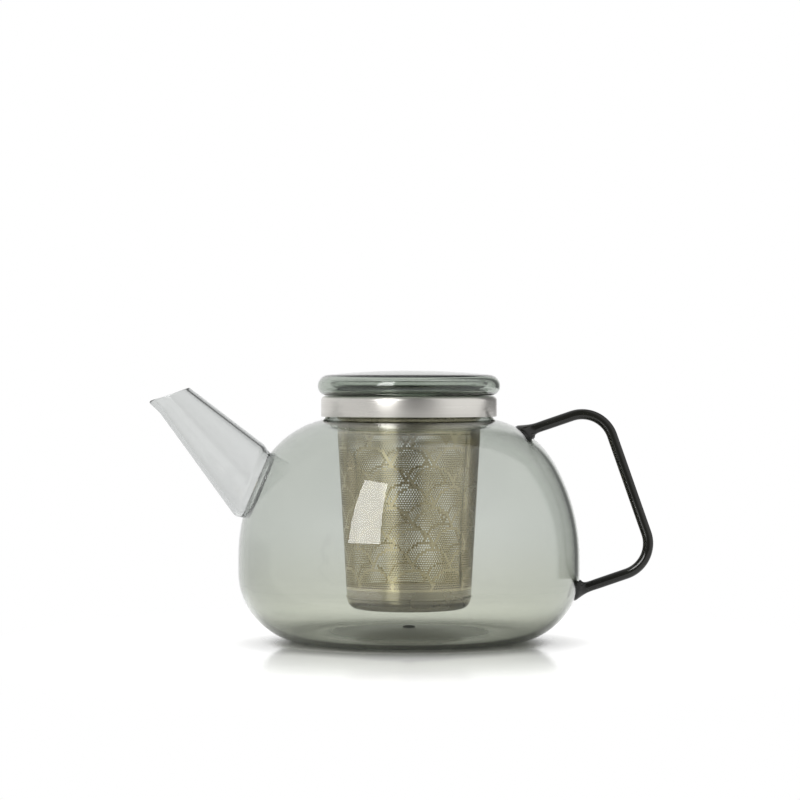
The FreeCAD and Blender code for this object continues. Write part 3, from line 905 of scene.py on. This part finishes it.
class Wire:
    """A socket of a shader tree. Sums of wires add Math nodes, and node() adds any other node."""

    def __init__(self, tree, socket):
        self.tree = tree
        self.socket = socket

    def feed(self, socket, value):
        """Link a wire to an input, or set the input to a plain value."""
        if isinstance(value, Wire):
            self.tree.links.new(value.socket, socket)
        else:
            socket.default_value = value

    def node(self, kind, settings, inputs, output=0):
        """Add a node with its settings and its inputs, and give back one of its outputs."""
        made = self.tree.nodes.new(kind)
        for name, value in settings.items():
            if name == "stops":
                self.set_stops(made.color_ramp, value)
            else:
                setattr(made, name, value)
        for name, value in inputs.items():
            self.feed(made.inputs[name], value)
        return Wire(self.tree, made.outputs[output])

    @staticmethod
    def set_stops(ramp, stops):
        """Give a ramp its greys, each at its share of the way along."""
        while len(ramp.elements) < len(stops):
            ramp.elements.new(0.5)
        for element, (share, grey) in zip(ramp.elements, stops):
            element.position = share
            element.color = (grey, grey, grey, 1.0)

    def maths(self, operation, first, second):
        return self.node("ShaderNodeMath", {"operation": operation}, {0: first, 1: second})

    def __add__(self, other):
        return self.maths("ADD", self, other)

    def __sub__(self, other):
        return self.maths("SUBTRACT", self, other)

    def __rsub__(self, other):
        return self.maths("SUBTRACT", other, self)

    def __mul__(self, other):
        return self.maths("MULTIPLY", self, other)

    def __truediv__(self, other):
        return self.maths("DIVIDE", self, other)

    def __rtruediv__(self, other):
        return self.maths("DIVIDE", other, self)

    def __pow__(self, other):
        return self.maths("POWER", self, other)

    def __rpow__(self, other):
        return self.maths("POWER", other, self)

    __radd__ = __add__
    __rmul__ = __mul__

    def noise(self, scale, detail=2.0):
        """Soft noise over this wire taken as a place."""
        return self.node("ShaderNodeTexNoise", {}, {"Vector": self, "Scale": scale, "Detail": detail})

    def between(self, low, high, start=0.0, end=1.0):
        """This value's share of the way from low to high, held to a range and spread from start to end."""
        return self.node(
            "ShaderNodeMapRange", {"interpolation_type": "SMOOTHSTEP"},
            {"Value": self, "From Min": low, "From Max": high, "To Min": start, "To Max": end},
        )

    def blend(self, first, second):
        """A colour that goes from the first to the second as this value goes from 0 to 1."""
        return self.node(
            "ShaderNodeMix", {"data_type": "RGBA"}, {"Factor": self, 6: first, 7: second}, output=2,
        )

    def bumps(self, strength, depth):
        """A normal bent by this height, whose whole depth is in millimetres."""
        return self.node("ShaderNodeBump", {}, {"Height": self, "Strength": strength, "Distance": depth * MM})

    def parts(self):
        """The X, Y and Z of this wire."""
        made = self.tree.nodes.new("ShaderNodeSeparateXYZ")
        self.feed(made.inputs[0], self)
        return [Wire(self.tree, socket) for socket in made.outputs]


def start_finish(name, settings):
    """A material with one Principled shader, its fixed values set, and the place on the object."""
    finish = bpy.data.materials.new(name)
    finish.use_nodes = True
    tree = finish.node_tree
    shader = tree.nodes["Principled BSDF"]
    for key, value in settings.items():
        shader.inputs[key].default_value = value
    coordinates = tree.nodes.new("ShaderNodeTexCoord")
    return finish, shader, Wire(tree, coordinates.outputs["Object"])


def make_glass(name, tint, density, waves, haze=0.0):
    """Clear tinted glass, faintly wavy and smudged as blown glass is.

    With haze, as in the bowl, the floor is hazy, and shade is painted into the colour, deeper downwards.
    """
    finish, shader, spot = start_finish(name, {"Transmission Weight": 1.0, "IOR": 1.47})
    smudge = spot.noise(scale=34.0, detail=4.0)
    blur = smudge.between(0.45, 0.8, 0.0, 0.03)
    tone = smudge.blend((1.0, 1.0, 1.0, 1.0), (0.975, 0.98, 0.97, 1.0))
    if haze:
        across, forward, height = spot.parts()
        squares = across * across + forward * forward
        hazy_middle = squares.between(*HAZE_SQUARES, haze, 0.0)
        blur = blur + hazy_middle * height.between(*HAZE_HEIGHTS, 1.0, 0.0)
        # Painted shade: the glass's colour darkens towards the bottom of the bowl
        tone = height.between(*LOW_PAINTED_SHADE_HEIGHTS).blend(LOW_PAINTED_SHADE, tone)
    spot.feed(shader.inputs["Roughness"], blur)
    spot.feed(shader.inputs["Base Color"], tone)
    if waves:
        spot.feed(shader.inputs["Normal"], spot.noise(scale=26.0, detail=1.0).bumps(waves, depth=0.3))
    absorb = spot.node("ShaderNodeVolumeAbsorption", {}, {"Color": tint, "Density": density})
    spot.feed(finish.node_tree.nodes["Material Output"].inputs["Volume"], absorb)
    return finish


def make_dark_glass(name):
    """Near-black glass for the drawn rod."""
    finish, shader, spot = start_finish(name, {"IOR": 1.43})
    cloud = spot.noise(scale=90.0, detail=3.0)
    tone = cloud.blend((0.005, 0.005, 0.004, 1.0), (0.014, 0.0145, 0.011, 1.0))
    spot.feed(shader.inputs["Base Color"], tone)
    spot.feed(shader.inputs["Roughness"], cloud.between(0.4, 0.8, 0.03, 0.09))
    spot.feed(shader.inputs["Normal"], spot.noise(scale=120.0, detail=1.0).bumps(0.06, depth=0.3))
    return finish


def make_ground_glass_painted_dark(name):
    """The small ground nub of glass left in the middle of the bowl's floor, with the darkness that refraction
    gives it painted into its colour as near-black.
    """
    finish, shader, spot = start_finish(name, {"IOR": 1.47})
    grit = spot.noise(scale=900.0, detail=3.0)
    # Painted shade: the near-black colour stands in for the dark that refraction shows at the nub
    spot.feed(shader.inputs["Base Color"], grit.blend((0.025, 0.03, 0.023, 1.0), (0.07, 0.08, 0.065, 1.0)))
    spot.feed(shader.inputs["Roughness"], grit.between(0.3, 0.7, 0.4, 0.65))
    spot.feed(shader.inputs["Normal"], grit.bumps(0.3, depth=0.1))
    return finish


def make_steel(name, light, dark, rough, stretch, brushing):
    """Sheet brushed round the axis: its fine lines follow the height and the distance from the axis."""
    finish, shader, spot = start_finish(
        name, {"Metallic": 1.0, "Anisotropic": stretch, "Anisotropic Rotation": 0.25}
    )
    across, forward, height = spot.parts()
    reach = (across * across + forward * forward) ** 0.5
    along_lines = {"X": height + reach, "Y": across * 0.012, "Z": forward * 0.012}
    brushed = spot.node("ShaderNodeCombineXYZ", {}, along_lines)
    cloud = spot.noise(scale=42.0, detail=3.0)
    grain = brushed.noise(scale=2400.0, detail=3.0) * brushing + cloud * (1.0 - brushing)
    spot.feed(shader.inputs["Base Color"], (grain * 0.6 + cloud * 0.4).blend(light, dark))
    mottle = grain * 0.5 + cloud * 0.5
    spot.feed(shader.inputs["Roughness"], mottle.between(0.3, 0.7, rough * 0.8, rough * 1.25))
    if brushing > 0.5:
        spot.feed(shader.inputs["Normal"], grain.bumps(0.05, depth=0.03))
    return finish


def make_silicone(name):
    """Soft grey rubber with a matt bloom."""
    finish, shader, spot = start_finish(
        name, {"IOR": 1.41, "Subsurface Weight": 0.2, "Subsurface Radius": (0.002, 0.002, 0.002)}
    )
    bloom = spot.noise(scale=140.0, detail=3.0)
    spot.feed(shader.inputs["Base Color"], bloom.blend((0.5, 0.5, 0.48, 1.0), (0.66, 0.66, 0.64, 1.0)))
    spot.feed(shader.inputs["Roughness"], bloom.between(0.3, 0.7, 0.38, 0.58))
    return finish


bowl_glass = make_glass(
    "smoky_glass", tint=(0.32, 0.378, 0.303, 1.0), density=200.0, waves=0.1, haze=0.35,
)
spout_glass = make_glass("pale_glass", tint=(0.42, 0.447, 0.443, 1.0), density=200.0, waves=0.0)
lid_glass = make_glass("smoky_lid_glass", tint=(0.27, 0.35, 0.255, 1.0), density=250.0, waves=0.03)
rod_glass = make_dark_glass("rod_glass")
nub_glass_painted_dark = make_ground_glass_painted_dark("nub_glass_painted_dark")
band_steel = make_steel(
    "band_steel", light=(0.74, 0.72, 0.68, 1.0), dark=(0.64, 0.62, 0.58, 1.0),
    rough=0.32, stretch=0.6, brushing=1.0,
)
sheet_steel = make_steel(
    "sheet_steel", light=(0.67, 0.595, 0.415, 1.0), dark=(0.59, 0.52, 0.355, 1.0),
    rough=0.2, stretch=0.7, brushing=0.2,
)
# A darker copy of the sleeve's steel for the unpierced bands and the pan, with their shade painted into its
# colour
painted_shade_steel = make_steel(
    "painted_shade_steel", light=(0.44, 0.4, 0.3, 1.0), dark=(0.38, 0.345, 0.26, 1.0),
    rough=0.24, stretch=0.7, brushing=0.2,
)
silicone = make_silicone("grey_silicone")

# Pieces, the body that carries them, the nodes that they show, their finishes and their slot
DRESS = (
    ([bowl], "pot", ["pot_body"], [bowl_glass, nub_glass_painted_dark], "bowl_glass"),
    ([spout], "pot", ["spout"], [spout_glass], "spout_glass"),
    ([handle], "pot", ["handle"], [rod_glass], "handle_glass"),
    ([collar], "infuser", ["infuser_collar"], [band_steel], "steel"),
    (rings, "infuser", ["infuser_sleeve"], [sheet_steel], "steel"),
    (bands, "infuser", ["infuser_sleeve"], [painted_shade_steel], "steel"),
    ([pan], "infuser", ["infuser_base"], [painted_shade_steel], "steel"),
    ([neck_seal], "neck_ring", ["neck_seal"], [silicone], "silicone"),
    ([lid_seal], "lid_ring", ["lid_seal"], [silicone], "silicone"),
    ([lid], "lid", ["lid_dome", "lid_plug"], [lid_glass], "lid_glass"),
    ([plug_wall], "lid", ["lid_plug"], [lid_glass], "lid_glass"),
)
for pieces, body, nodes, finishes, slot in DRESS:
    for piece in pieces:
        for finish in finishes:
            piece.data.materials.append(finish)
        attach(piece, body)
        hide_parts(*nodes)


# Studio

def lay_floor():
    """A pale gloss table top with painted glow and painted shade, whose mirror image fades away from the pot.
    """
    deselect()
    bpy.ops.mesh.primitive_circle_add(
        vertices=96, radius=FLOOR_RADIUS, fill_type="NGON", location=(0, 0, FLOOR_LEVEL),
    )
    floor = bpy.context.object
    floor.name = "floor"
    settle(floor)
    finish, shader, spot = start_finish("floor", {"IOR": 1.45, "Emission Strength": FLOOR_GLOW})
    grain = spot.noise(scale=60.0, detail=3.0)
    across, forward, _ = spot.parts()
    reach = (across * across + forward * forward) ** 0.5
    ahead = forward + SHADE_AHEAD
    away = (across * across * SHADE_STRETCH + ahead * ahead) ** 0.5
    pale = grain.blend((0.86, 0.86, 0.86, 1.0), (0.9, 0.9, 0.9, 1.0))
    # Painted shade: the table top's colour darkens under the pot
    base = reach.between(*PAINTED_SHADE_UNDER_POT).blend((0.4, 0.4, 0.38, 1.0), pale)
    spot.feed(shader.inputs["Base Color"], base)
    matt = reach.between(*MATT_UNDER_POT, 0.5, 0.0) + reach.between(*MATT_FAR_OUT, 0.05, 0.5)
    spot.feed(shader.inputs["Roughness"], matt + grain * 0.03)
    # The table top's glow is painted light. It goes out round the foot, which paints the pot's shade there,
    # but not under the raised base
    under = reach.between(*GLOW_UNDER_BASE, 0.8, 0.0)
    glow = under + reach.between(*GLOW_ROUND_FOOT) * away.between(*GLOW_SPREAD, GLOW_LEAST, 1.0)
    spot.feed(shader.inputs["Emission Color"], glow.blend((0.03, 0.03, 0.03, 1.0), (1.0, 1.0, 1.0, 1.0)))
    # Away from the pot the table top runs out into the white background
    white = spot.node("ShaderNodeEmission", {}, {"Color": (1.0, 1.0, 1.0, 1.0), "Strength": 1.0})
    gloss = Wire(spot.tree, shader.outputs[0])
    top = spot.node("ShaderNodeMixShader", {}, {0: away.between(*WHITE_FAR_OUT), 1: gloss, 2: white})
    spot.feed(finish.node_tree.nodes["Material Output"].inputs["Surface"], top)
    floor.data.materials.append(finish)


def light_room():
    """A pale room, dimmer overhead and at the camera, with one dark flag, before a white background."""
    world = bpy.data.worlds.new("studio")
    bpy.context.scene.world = world
    world.use_nodes = True
    tree = world.node_tree
    coordinates = tree.nodes.new("ShaderNodeTexCoord")
    way = Wire(tree, coordinates.outputs["Generated"])
    rays = tree.nodes.new("ShaderNodeLightPath")
    seen = Wire(tree, rays.outputs["Is Camera Ray"])
    through = Wire(tree, rays.outputs["Is Transmission Ray"])
    mirrored = Wire(tree, rays.outputs["Glossy Depth"]).between(*ANY_MIRROR)
    deep = Wire(tree, rays.outputs["Transmission Depth"]).between(*THIRD_FACE)
    across, forward, up = way.parts()
    azimuth = way.maths("ARCTAN2", across, 0.0 - forward) / (2 * math.pi) + 0.5

    def round_the_room(greys):
        stops = [(0.5 + turned / 360, grey) for turned, grey in greys]
        return way.node("ShaderNodeValToRGB", {"stops": stops}, {"Fac": azimuth})

    walls = round_the_room(WALLS)
    clear = round_the_room(CLEAR_WALLS)
    flag = 1.0 - (1.0 - round_the_room(FLAG)) * up.between(*FLAG_FOOT)
    room = (walls + through * (clear - walls)) * flag * up.between(*OVERHEAD)
    # Light that comes straight through three or more faces of glass comes from the white background
    straight = through * (1.0 - mirrored)
    room = room + straight * deep * (1.0 - room)
    level = room + seen * (1.0 - room)
    way.feed(tree.nodes["Background"].inputs["Strength"], level)
    tree.nodes["Background"].inputs["Color"].default_value = (1.0, 1.0, 1.0, 1.0)


def hang_softbox():
    """A tall upright softbox, which isn't seen through glass."""
    deselect()
    bpy.ops.object.light_add(type="AREA", location=[share * KEY_DISTANCE for share in KEY_WAY])
    key = bpy.context.object
    key.name = "softbox"
    key.data.shape = "RECTANGLE"
    key.data.size, key.data.size_y = KEY_SIZE
    key.data.energy = math.pi * KEY_RADIANCE * KEY_SIZE[0] * KEY_SIZE[1]
    key.visible_transmission = False
    tilt = math.acos(KEY_WAY[2]) - KEY_LEAN
    key.rotation_euler = (tilt, 0, math.atan2(KEY_WAY[1], KEY_WAY[0]) + math.pi / 2)


def set_camera():
    drop = math.atan2(CAMERA_PLACE[2] - CAMERA_AIM_LEVEL, -CAMERA_PLACE[1])
    deselect()
    bpy.ops.object.camera_add(location=CAMERA_PLACE, rotation=(math.radians(90) - drop, 0, 0))
    camera = bpy.context.object
    camera.data.lens = CAMERA_LENS
    camera.data.sensor_width = CAMERA_SENSOR
    bpy.context.scene.camera = camera


lay_floor()
light_room()
hang_softbox()
set_camera()
bpy.context.scene.view_settings.view_transform = "Standard"
